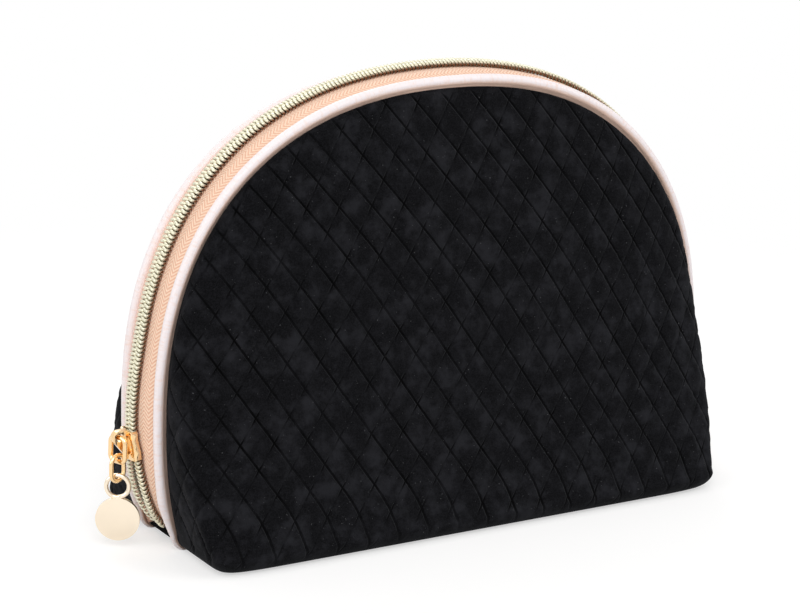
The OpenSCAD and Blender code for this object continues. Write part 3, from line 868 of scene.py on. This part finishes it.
def quilted_half(quilt):
    """Outer and inner grids of a quilted half, its cloth coordinates, its stitch counts and a
    mask of the painted shade in the creases. The puff is a product of rounded steps away from
    the lines. Half of it is added to 0.7 of the settled cloth's height. It fades to nothing at
    the seams and under the bottom fold, so that the edges meet the piping and the base."""
    rows, cols = VELVET_GRID
    points, across, up = half_surface(rows, cols, 0.0, SWING_GAP)
    normals = surface_normals(points)
    counts = stitch_counts(across, up, quilt)
    fall, climb = line_distances(counts, quilt)
    puff, depth, width = quilt.puff / MM, quilt.groove / MM, quilt.groove_w / MM
    to_seam = np.abs(across[:, :1]) - np.abs(across)
    rise = puff * (1 - np.exp(-((fall / 2.0) ** 1.2))) * (1 - 0.6 * np.exp(-((climb / 1.8) ** 1.2)))
    held = np.maximum(1.0 * (fall < 0.7), 0.5 * (climb < 0.6))
    held = np.maximum(held, 1.0 * (to_seam < 2) + 1.0 * (points[..., 2] < 1.5))
    held[[0, -1], :] = 1
    settled = settled_puff(*(grid[::PUFF_STEP, ::PUFF_STEP]
                             for grid in (points, normals, np.clip(held, 0, 1))), puff)
    rise = 0.5 * rise + 0.7 * between_rows(settled, rows, cols)
    crease = np.maximum(np.exp(-((fall / width) ** 2)), 0.6 * np.exp(-((climb / width) ** 2)))
    fade = smooth_step(to_seam / 4.0) * smooth_step((points[..., 2] - 0.6) / 7.0)
    fade = fade * smooth_step((ARCH_TOP - 0.3 - points[..., 2]) / 3.0)
    edge_dip = 0.35 * np.exp(-((to_seam / 1.6) ** 2)) * smooth_step((points[..., 2] - 2) / 10)
    outer = points + normals * ((rise - depth * crease) * fade - edge_dip)[..., None]
    outer[..., 2] = np.maximum(outer[..., 2], 0.01)
    inner = half_surface(rows, cols, VELVET_T, SWING_GAP)[0]
    uv = joined(across, up).reshape(-1, 2)
    # fade is also the mask that lets the painted shade into the creases.
    return outer, inner, uv, joined(*counts).reshape(-1, 2), fade.reshape(-1)


class CASE_OT_velvet_halves(Operator):
    """Quilted velvet of both halves"""

    bl_idname = "jewel_case.velvet_halves"
    bl_label = "Velvet Halves"

    def execute(self, context):
        quilt = context.scene.case_quilting
        outer, inner, uv, counts, fade = quilted_half(quilt)
        points, faces = closed_shell(outer, inner)
        # fade carries the painted shade of the creases, on the outer face only.
        for piece in add_cloth_pair("panel", points, faces, velvet_finish(quilt),
                                    twice(uv), np.concatenate([fade, 0 * fade]), twice(counts)):
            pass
        return {"FINISHED"}


def inner_layers(quilt):
    """The layers inside the velvet, as name, depth of the outer face, thickness and finish."""
    return (("wadding", WADDING_D, WADDING_T, wadding_finish(quilt)),
            ("lining", LINING_D, LINING_T, lining_finish(quilt)))


class CASE_OT_wadding_lining(Operator):
    """Wadding and lining inside both halves"""

    bl_idname = "jewel_case.wadding_lining"
    bl_label = "Wadding and Lining"

    def execute(self, context):
        quilt = context.scene.case_quilting
        for stem, top, thick, material in inner_layers(quilt):
            outer, across, up = half_surface(*INSIDE_GRID, top)
            inner = half_surface(*INSIDE_GRID, top + thick)[0]
            points, faces = closed_shell(outer, inner)
            uv = joined(across, up).reshape(-1, 2)
            for piece in add_cloth_pair(stem, points, faces, material, twice(uv)):
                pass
        return {"FINISHED"}


# ---- base


def base_surface(z, margin=0.0, rise=0.0, short=0.0):
    """Level plate between the halves' bottom folds at height z, as (points, uv). Its outline
    is the halves' plan superellipse less margin, and less short at both ends. Columns run from
    the front outline straight to the back one. With rise, both ends turn up between the seams
    round part of a circle, to that angle in degrees."""
    rows, cols = BASE_GRID
    x0 = rim_x(FOLD_R) - FOLD_R - FLAP_IN - margin - short
    depth = BULGE - FOLD_R - SWING_GAP - margin
    a = np.radians(np.linspace(-90, 90, FINE_TURN))
    x, y = plan_curve(x0, depth, BASE_CORNER, a)
    run = arc_length(x, y)
    turn = np.interp(np.linspace(0, run[-1], cols), run, a)
    x, y = plan_curve(x0, depth, BASE_CORNER, turn)
    y = SEAM_Y + y
    zz = np.full(cols, z)
    if rise:
        phi = np.radians(np.linspace(TURN_FROM, rise, TURN_COLS))
        r = FOLD_R - z
        end_x = x0 + r * np.sin(phi) * TURN_WIDE
        end_z = z + r * (1 - np.cos(phi))
        end_y = np.linspace(SEAM_Y - 0.1, SEAM_Y - 0.9, len(phi))
        x = np.concatenate([-end_x[::-1], x, end_x])
        y = np.concatenate([end_y[::-1], y, end_y])
        zz = np.concatenate([end_z[::-1], zz, end_z])
    s = np.linspace(1, -1, rows)[:, None]
    points = joined(x, -s * y, zz)
    along = arc_length(x, zz)
    return points, joined(along - along[-1] / 2, points[..., 1]).reshape(-1, 2)


class CASE_OT_base(Operator):
    """Velvet, wadding and lining of the base"""

    bl_idname = "jewel_case.base"
    bl_label = "Base"

    def execute(self, context):
        quilt = context.scene.case_quilting
        outer, uv = base_surface(0.0, rise=BASE_TURN)
        inner, _ = base_surface(VELVET_T, rise=BASE_TURN)
        points, faces = closed_shell(outer, inner)
        mesh = make_mesh("base_panel_piece", points, faces[:, ::-1], twice(uv),
                         np.zeros(len(points)))
        panel = add_piece("base_panel_dressed", mesh, velvet_finish(quilt),
                          ["base_panel"])
        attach(panel, "base")
        for stem, low, thick, material in inner_layers(quilt):
            under, uv = base_surface(low, BASE_MARGIN, short=BASE_SHORT)
            over, _ = base_surface(low + thick, BASE_MARGIN, short=BASE_SHORT)
            points, faces = closed_shell(under, over)
            mesh = make_mesh(f"base_{stem}_piece", points, faces[:, ::-1], twice(uv))
            piece = add_piece(f"base_{stem}_dressed", mesh, material, [f"base_{stem}"])
            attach(piece, "base")
        return {"FINISHED"}


# ---- piping and tapes


def swept_tube(path, normal, y0, out, radius, angles):
    """Sections round a path in the XZ plane. A point at angle a lies out - radius cos a along
    the path's normal and radius sin a across, about the line y = y0."""
    ring_out = out[:, None] - radius[:, None] * np.cos(angles)[None, :]
    ring_y = y0 + radius[:, None] * np.sin(angles)[None, :]
    return joined(path[:, :1] + normal[:, :1] * ring_out, ring_y,
                  path[:, 1:] + normal[:, 1:] * ring_out)


class CASE_OT_piping(Operator):
    """Satin piping with its cord along both seams"""

    bl_idname = "jewel_case.piping"
    bl_label = "Piping"

    def execute(self, context):
        trims = context.scene.case_trims
        count = trims.stations
        path, normal, run = rim_path(count)
        end = np.minimum(run, run[-1] - run)
        taper = PIPING_END + (1 - PIPING_END) * np.clip(end / PIPING_TAPER, 0, 1) ** 0.8
        opening = math.asin(SATIN_T / 2 / PIPING_R)
        angles = np.linspace(opening, 2 * math.pi - opening, 22)
        radius = PIPING_R * taper
        out = PIPING_OUT * taper
        tube = swept_tube(path, normal, -FLANGE_Y, out, radius, angles)
        low = path - normal * ALLOWANCE
        sides = -FLANGE_Y + np.array([-SATIN_T / 2, SATIN_T / 2])
        flange = joined(low[:, :1], sides, low[:, 1:])
        outer = np.concatenate([tube, flange], axis=1)
        bore_angles = np.concatenate([angles, 2 * math.pi + np.array([-0.4, 0.4]) * opening])
        inner = swept_tube(path, normal, -FLANGE_Y, out, (PIPING_R - SATIN_T) * taper, bore_angles)
        n = outer.shape[1]
        total = count * n
        ring = np.arange(n)
        nxt = (ring + 1) % n
        end_band = joined(ring, nxt, nxt + total, ring + total)
        faces = np.concatenate([
            grid_faces(count, n, 0, True)[:, ::-1], grid_faces(count, n, total, True),
            end_band, end_band[:, ::-1] + total - n,
        ])
        points = np.concatenate([outer.reshape(-1, 3), inner.reshape(-1, 3)])
        points[:, 2] = np.maximum(points[:, 2], 0.02)
        round_mm = np.concatenate([angles * PIPING_R, FLANGE_ROUND])
        uv = grid_uv(run, round_mm)
        # Mask of painted light: 1 on the crown, falling to 0 down the sides and on the flange,
        # where the satin takes its painted shade.
        crown = np.concatenate([np.sin(angles / 2) ** 2, [0, 0]])
        tint = np.broadcast_to(crown, (count, n)).reshape(-1)
        add_cloth_pair("piping_cover", points, faces, satin_finish(trims),
                       twice(uv), twice(tint))
        self.cord(trims, path, normal, run, taper)
        return {"FINISHED"}

    def cord(self, trims, path, normal, run, taper):
        """Cotton cord inside the satin: a plain tube closed with a fan of faces at each end."""
        sides = 10
        angles = np.arange(sides) * 2 * math.pi / sides
        radius = (PIPING_R - SATIN_T - 0.1) * taper
        rings = swept_tube(path, normal, -FLANGE_Y, PIPING_OUT * taper, radius, angles)
        count = len(path)
        rings[..., 2] = np.maximum(rings[..., 2], 0.03)
        cap = np.arange(sides)[None, :]
        faces = [grid_faces(count, sides, 0, True)[:, ::-1], cap,
                 cap[:, ::-1] + (count - 1) * sides]
        uv = grid_uv(run, angles * 1.5)
        add_cloth_pair("piping_cord", rings.reshape(-1, 3), faces, cord_finish(trims), uv)


def tape_surface(count):
    """Upper face of the front zip tape, as (points, uv, tint). It stands in the seam, turns
    over it on a cubic curve and runs level under the coil on the zip's own circle. The
    tint mask puts painted shade on the turn in the seam and a painted shadow of the
    coil along the coil's foot."""
    low = rim_angle(ZIP_END_Z)
    t = np.linspace(low, math.pi - low, count)
    side = np.minimum(t, math.pi - t)
    x = -HALF_W * np.clip(np.cos(side), 0, None) ** (2 / SQUARE)
    x = x * np.sign(math.pi / 2 - t + 1e-12)
    z = LEVEL + RISE * signed_power(np.sin(side), 2 / SQUARE)
    path = joined(x, z)
    normal = plane_normals(path)
    angle = np.degrees(np.arctan2(z - ZIP_Z, x))
    angle = np.where(angle < -90, angle + 360, angle)
    aside = pulled(angle)
    face = TAPE_R - zip_drop(angle)
    u = joined(np.cos(np.radians(angle)), np.sin(np.radians(angle)))

    def at(origin, direction, out, y):
        return joined(origin[:, 0] + direction[:, 0] * out, y,
                      origin[:, 1] + direction[:, 1] * out)

    centre = np.tile([0.0, ZIP_Z], (count, 1))
    foot = at(path, normal, -ALLOWANCE, -TAPE_LEG_Y)
    p0 = at(path, normal, -0.6, -TAPE_LEG_Y)
    p3 = at(centre, u, face, -TAPE_FLAT - aside * 0.5)
    reach = np.linalg.norm(p3 - p0, axis=1, keepdims=True)
    p1 = p0 + at(np.zeros((count, 2)), normal, 1.0, 0.0) * np.minimum(2.2, reach * 0.4)
    p2 = p3 + np.array([0, -1.0, 0]) * reach * 0.45
    edge = at(centre, u, face, -TAPE_EDGE - aside)
    b = np.linspace(0, 1, 18)[None, :, None]
    turn = ((1 - b) ** 3 * p0[:, None] + 3 * (1 - b) ** 2 * b * p1[:, None]
            + 3 * (1 - b) * b**2 * p2[:, None] + b**3 * p3[:, None])
    lead = foot[:, None] + (p0 - foot)[:, None] * np.linspace(0, 1, 5)[None, :-1, None]
    flat = p3[:, None] + (edge - p3)[:, None] * np.linspace(0, 1, 9)[None, 1:, None]
    points = np.concatenate([lead, turn, flat], axis=1)
    across = arc_length(points[..., 0], points[..., 1], points[..., 2])
    from_turn = across - across[:, 4:5]
    # Painted shade on the turn down into the seam.
    seam = np.exp(-((np.clip(from_turn, 0, None) / 1.0) ** 2))
    # Painted shadow of the coil: a narrow strip along its foot.
    beside = -CHAIN_W / 2 - aside[:, None] - points[..., 1]
    strip = np.clip(1 - np.abs(beside - 0.05) / 0.35, 0, 1)
    tint = np.clip(seam * 0.9 + strip, 0, 1)
    uv = joined(arc_length(x, z)[:, None], across)
    return points, uv.reshape(-1, 2), tint.reshape(-1)


class CASE_OT_zip_tapes(Operator):
    """Woven tapes on both sides of the zip"""

    bl_idname = "jewel_case.zip_tapes"
    bl_label = "Zip Tapes"

    def execute(self, context):
        trims = context.scene.case_trims
        upper, uv, tint = tape_surface(trims.stations)
        normals = surface_normals(upper)
        if normals[len(normals) // 2, -1, 2] < 0:
            normals = -normals
        lower = upper - normals * TAPE_T
        points, faces = closed_shell(upper, lower)
        if np.dot(np.cross(*(points[faces[0, k]] - points[faces[0, 0]] for k in (1, 2))),
                  normals[0, 0]) < 0:
            faces = faces[:, ::-1]
        add_cloth_pair("zip_tape", points, faces, tape_finish(trims),
                       twice(uv), twice(tint))
        return {"FINISHED"}


# ---- coil


def coil_row(phase):
    """All loops of the front row, as (points, faces, tint). Each loop is a bent wire: from its
    foot at the tape's side an upper leg slants to the head in the middle, turns down and runs
    back below. Its rings are ellipses square to the wire, and every loop is the same set of
    rings turned to its own angle round the zip and drawn aside with the row."""
    half = CHAIN_W / 2
    line = np.array([
        [0.24, -half + 0.9, 0.42], [0.08, -half + 0.12, 0.50], [-0.20, -half - 0.05, 1.15],
        [-0.50, -half + 0.30, 1.86], [-0.36, -half + 1.2, 2.0], [-0.12, -half + 2.2, 2.0],
        [0.0, COIL_REACH - 0.55, 1.92], [0.0, COIL_REACH - 0.38, 1.2],
        [0.0, COIL_REACH - 0.7, 0.5], [0.12, -half + 2.0, 0.42],
    ])
    wide = np.array([0.40, 0.44, 0.50, 0.60, 0.64, 0.60, 0.42, 0.36, 0.36, 0.36])
    high = np.array([0.34, 0.36, 0.40, 0.42, 0.42, 0.42, 0.40, 0.38, 0.38, 0.34])
    tangent = np.gradient(line, axis=0)
    tangent /= np.linalg.norm(tangent, axis=1, keepdims=True)
    flat_side = np.array([1.0, 0.0, 0.0]) - tangent * tangent[:, :1]
    side = flat_side / np.linalg.norm(flat_side, axis=1, keepdims=True)
    up = np.cross(side, tangent)
    sides = 6
    a = np.arange(sides) * 2 * math.pi / sides + math.pi / 6
    ring = (line[:, None] + side[:, None] * (wide[:, None] * np.cos(a))[..., None]
            + up[:, None] * (high[:, None] * np.sin(a))[..., None])
    rings = len(line)
    local = ring.reshape(-1, 3)
    body = grid_faces(rings, sides, 0, True)
    cap = np.arange(sides)[None, :]
    caps = np.concatenate([cap[:, ::-1], cap + (rings - 1) * sides])
    start, stop = 181 - ZIP_TO, ZIP_TO - 1
    count = int((stop - start) / COIL_STEP - phase)
    angle = start + (np.arange(count) + phase) * COIL_STEP
    turn = np.radians(90 - angle)
    depth, slope = zip_drop(angle)[:, None], zip_slope(angle)[:, None]
    x = local[None, :, 0] * np.cos(slope) - local[None, :, 2] * np.sin(slope)
    r = TAPE_R - depth + local[None, :, 0] * np.sin(slope) + local[None, :, 2] * np.cos(slope)
    px = x * np.cos(turn)[:, None] + r * np.sin(turn)[:, None]
    pz = ZIP_Z - x * np.sin(turn)[:, None] + r * np.cos(turn)[:, None]
    py = local[None, :, 1] - pulled(angle)[:, None]
    points = joined(px, py, pz).reshape(-1, 3)
    step = (np.arange(count) * len(local))[:, None, None]
    # Mask of painted shade: 1 low down at the loops' foot by the tape's side.
    foot = (np.clip((-half + 0.3 - local[:, 1]) / 0.35, 0, 1)
            * np.clip((1.6 - local[:, 2]) / 0.4, 0, 1))
    faces = [(body[None] + step).reshape(-1, 4), (caps[None] + step).reshape(-1, sides)]
    return points, faces, np.tile(foot, count)


class CASE_OT_zip_coils(Operator):
    """Both rows of the zip's coil"""

    bl_idname = "jewel_case.zip_coils"
    bl_label = "Zip Coils"

    def execute(self, context):
        trims = context.scene.case_trims
        material = coil_finish(trims)
        for side, sign, phase in (("front", -1.0, 0.0), ("back", 1.0, 0.5)):
            points, faces, tint = coil_row(phase)
            if side == "back":
                points, faces = mirror_y(points, faces)
            mesh = make_mesh(f"{side}_zip_coil_piece", points, faces, None, tint)
            face_outwards(mesh)
            piece = add_piece(f"{side}_zip_coil_dressed", mesh, material,
                              [f"{side}_zip_coil"])
            bend_over_fold(piece)
        return {"FINISHED"}


def face_outwards(mesh):
    """Turns every face of a mesh of closed shells outwards."""
    work = bmesh.new()
    work.from_mesh(mesh)
    bmesh.ops.recalc_face_normals(work, faces=work.faces)
    work.to_mesh(mesh)
    work.free()


# ---- metal


def bevelled_copy(name, node, material, width):
    """A merged copy of a CAD node's mesh with its edges rounded."""
    mesh = frame["nodes"][node].data.copy()
    mesh.name = f"{name}_piece"
    work = bmesh.new()
    work.from_mesh(mesh)
    bmesh.ops.remove_doubles(work, verts=work.verts, dist=0.000002)
    bmesh.ops.dissolve_limit(work, angle_limit=math.radians(1.5), verts=work.verts,
                             edges=work.edges)
    work.to_mesh(mesh)
    work.free()
    mesh.materials.clear()
    mesh.polygons.foreach_set("use_smooth", np.ones(len(mesh.polygons), bool))
    piece = add_piece(name, mesh, material, [node])
    bevel = piece.modifiers.new("Rounded edges", "BEVEL")
    bevel.width = width * MM
    bevel.segments = 3
    bevel.limit_method = "ANGLE"
    bevel.angle_limit = math.radians(32)
    bevel.harden_normals = True
    return piece


class CASE_OT_slider(Operator):
    """Slider of the zip"""

    bl_idname = "jewel_case.slider"
    bl_label = "Slider"

    def execute(self, context):
        piece = bevelled_copy("zip_slider_dressed", "zip_slider",
                              gold_finish(context.scene.case_trims), 0.22)
        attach(piece, "slider")
        return {"FINISHED"}


class CASE_OT_pull_chain(Operator):
    """Loop, link and disc that hang from the slider"""

    bl_idname = "jewel_case.pull_chain"
    bl_label = "Pull Chain"

    def execute(self, context):
        trims = context.scene.case_trims
        for body, plated in (("loop", gold_finish), ("link", gold_finish), ("disc", disc_painted_reflection_finish)):
            piece = bevelled_copy(f"pull_{body}_dressed", f"pull_{body}", plated(trims), 0.15)
            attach(piece, body)
        return {"FINISHED"}


# ---- studio


class CASE_OT_studio(Operator):
    """Floor, lights and camera"""

    bl_idname = "jewel_case.studio"
    bl_label = "Studio"

    def execute(self, context):
        studio = context.scene.case_studio
        self.floor()
        self.sky(context.scene, studio.sky)
        for name, place, size, power in LAMPS:
            self.lamp(name, place, size, getattr(studio, power))
        self.camera(context.scene, studio.lens)
        context.scene.view_settings.view_transform = "Standard"
        return {"FINISHED"}

    def floor(self):
        """A disc of rings round the case. Seen by the camera or in metal it is a white card
        that keeps the shadow near the case and fades to plain white away from it."""
        rings, spokes = 24, 96
        r = FLOOR_R * np.linspace(0.02, 1, rings)[:, None] ** 1.5
        a = np.linspace(0, 2 * math.pi, spokes, endpoint=False)[None, :]
        points = joined(r * np.cos(a), r * np.sin(a), FLOOR_Z).reshape(-1, 3)
        faces = [grid_faces(rings, spokes, 0, True), np.arange(spokes)[None, ::-1]]
        mesh = make_mesh("floor", points, faces)
        face_outwards(mesh)
        n = Nodes(bpy.data.materials.new("Studio floor"))
        distance = n.node("ShaderNodeVectorMath", {0: n.place()}, operation="LENGTH")
        away = n.ramp(distance.outputs["Value"], *SHADOW_FADE)
        n.finish(Base_Color=(0.55, 0.545, 0.54), Roughness=0.9, Specular_IOR_Level=0.1)
        glow = n.node("ShaderNodeEmission", {"Color": (1, 1, 1), "Strength": 0.52})
        white = n.node("ShaderNodeEmission", {"Color": (1, 1, 1), "Strength": 1.0})
        near = n.node("ShaderNodeAddShader", {0: n.shader.outputs[0], 1: glow.outputs[0]})
        seen = n.node("ShaderNodeMixShader", {0: away, 1: near.outputs[0], 2: white.outputs[0]})
        n.show(n.shader.outputs[0], seen.outputs[0], "Material Output")
        floor = bpy.data.objects.new("studio_floor", mesh)
        bpy.context.scene.collection.objects.link(floor)
        mesh.materials.append(n.owner)

    def sky(self, scene, strength):
        """Even light from all round, seen by the camera and in metal as white."""
        scene.world = bpy.data.worlds.new("Studio sky")
        n = Nodes(scene.world, "Background")
        n.finish(Color=(1, 1, 1), Strength=strength)
        shown = n.node("ShaderNodeBackground", {"Color": (1, 1, 1), "Strength": 1.0})
        n.show(n.shader.outputs[0], shown.outputs[0], "World Output")

    def lamp(self, name, place, size, power):
        """A square soft light aimed at the middle of the case."""
        light = bpy.data.lights.new(name, "AREA")
        light.size = size
        light.energy = power
        lamp = bpy.data.objects.new(name, light)
        bpy.context.scene.collection.objects.link(lamp)
        lamp.location = place
        lamp.rotation_euler = (AIM - lamp.location).to_track_quat("-Z", "Y").to_euler()

    def camera(self, scene, lens):
        """Long lens at the front left, a little above the case."""
        yaw, pitch, roll = (math.radians(a) for a in CAMERA_TURN)
        ahead = np.array([math.sin(yaw) * math.cos(pitch), math.cos(yaw) * math.cos(pitch),
                          math.sin(pitch)])
        right = np.array([math.cos(yaw), -math.sin(yaw), 0.0])
        up = np.cross(right, ahead)
        right, up = (right * math.cos(roll) + up * math.sin(roll),
                     up * math.cos(roll) - right * math.sin(roll))
        turn = Matrix([[right[k], up[k], -ahead[k]] for k in range(3)])
        data = bpy.data.cameras.new("Camera")
        data.lens = lens
        data.sensor_width = 36.0
        data.clip_start, data.clip_end = 0.05, 20.0
        camera = bpy.data.objects.new("Camera", data)
        scene.collection.objects.link(camera)
        camera.location = CAMERA_AT
        camera.rotation_euler = turn.to_euler()
        scene.camera = camera


# ---- add-on


class CASE_PT_builder(Panel):
    """Sidebar list of the case's pieces"""

    bl_idname = "CASE_PT_builder"
    bl_label = "Jewellery Case"
    bl_space_type = "VIEW_3D"
    bl_region_type = "UI"
    bl_category = "Jewellery Case"

    def draw(self, context):
        for group in ("case_quilting", "case_trims", "case_studio"):
            settings = getattr(context.scene, group)
            box = self.layout.box()
            for name in settings.bl_rna.properties.keys():
                if name not in ("rna_type", "name"):
                    box.prop(settings, name)
        for step in STEPS:
            self.layout.operator(step.bl_idname)


STEPS = (
    CASE_OT_studio,
    CASE_OT_velvet_halves,
    CASE_OT_wadding_lining,
    CASE_OT_base,
    CASE_OT_piping,
    CASE_OT_zip_tapes,
    CASE_OT_zip_coils,
    CASE_OT_slider,
    CASE_OT_pull_chain,
)
CLASSES = (CaseQuilting, CaseTrims, CaseStudio, *STEPS, CASE_PT_builder)


def register():
    for cls in CLASSES:
        bpy.utils.register_class(cls)
    bpy.types.Scene.case_quilting = PointerProperty(type=CaseQuilting)
    bpy.types.Scene.case_trims = PointerProperty(type=CaseTrims)
    bpy.types.Scene.case_studio = PointerProperty(type=CaseStudio)


def unregister():
    del bpy.types.Scene.case_studio
    del bpy.types.Scene.case_trims
    del bpy.types.Scene.case_quilting
    for cls in reversed(CLASSES):
        bpy.utils.unregister_class(cls)


def main():
    """Registers the add-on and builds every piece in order."""
    register()
    for step in STEPS:
        group, name = step.bl_idname.split(".")
        getattr(getattr(bpy.ops, group), name)()


if __name__ == "__main__":
    main()
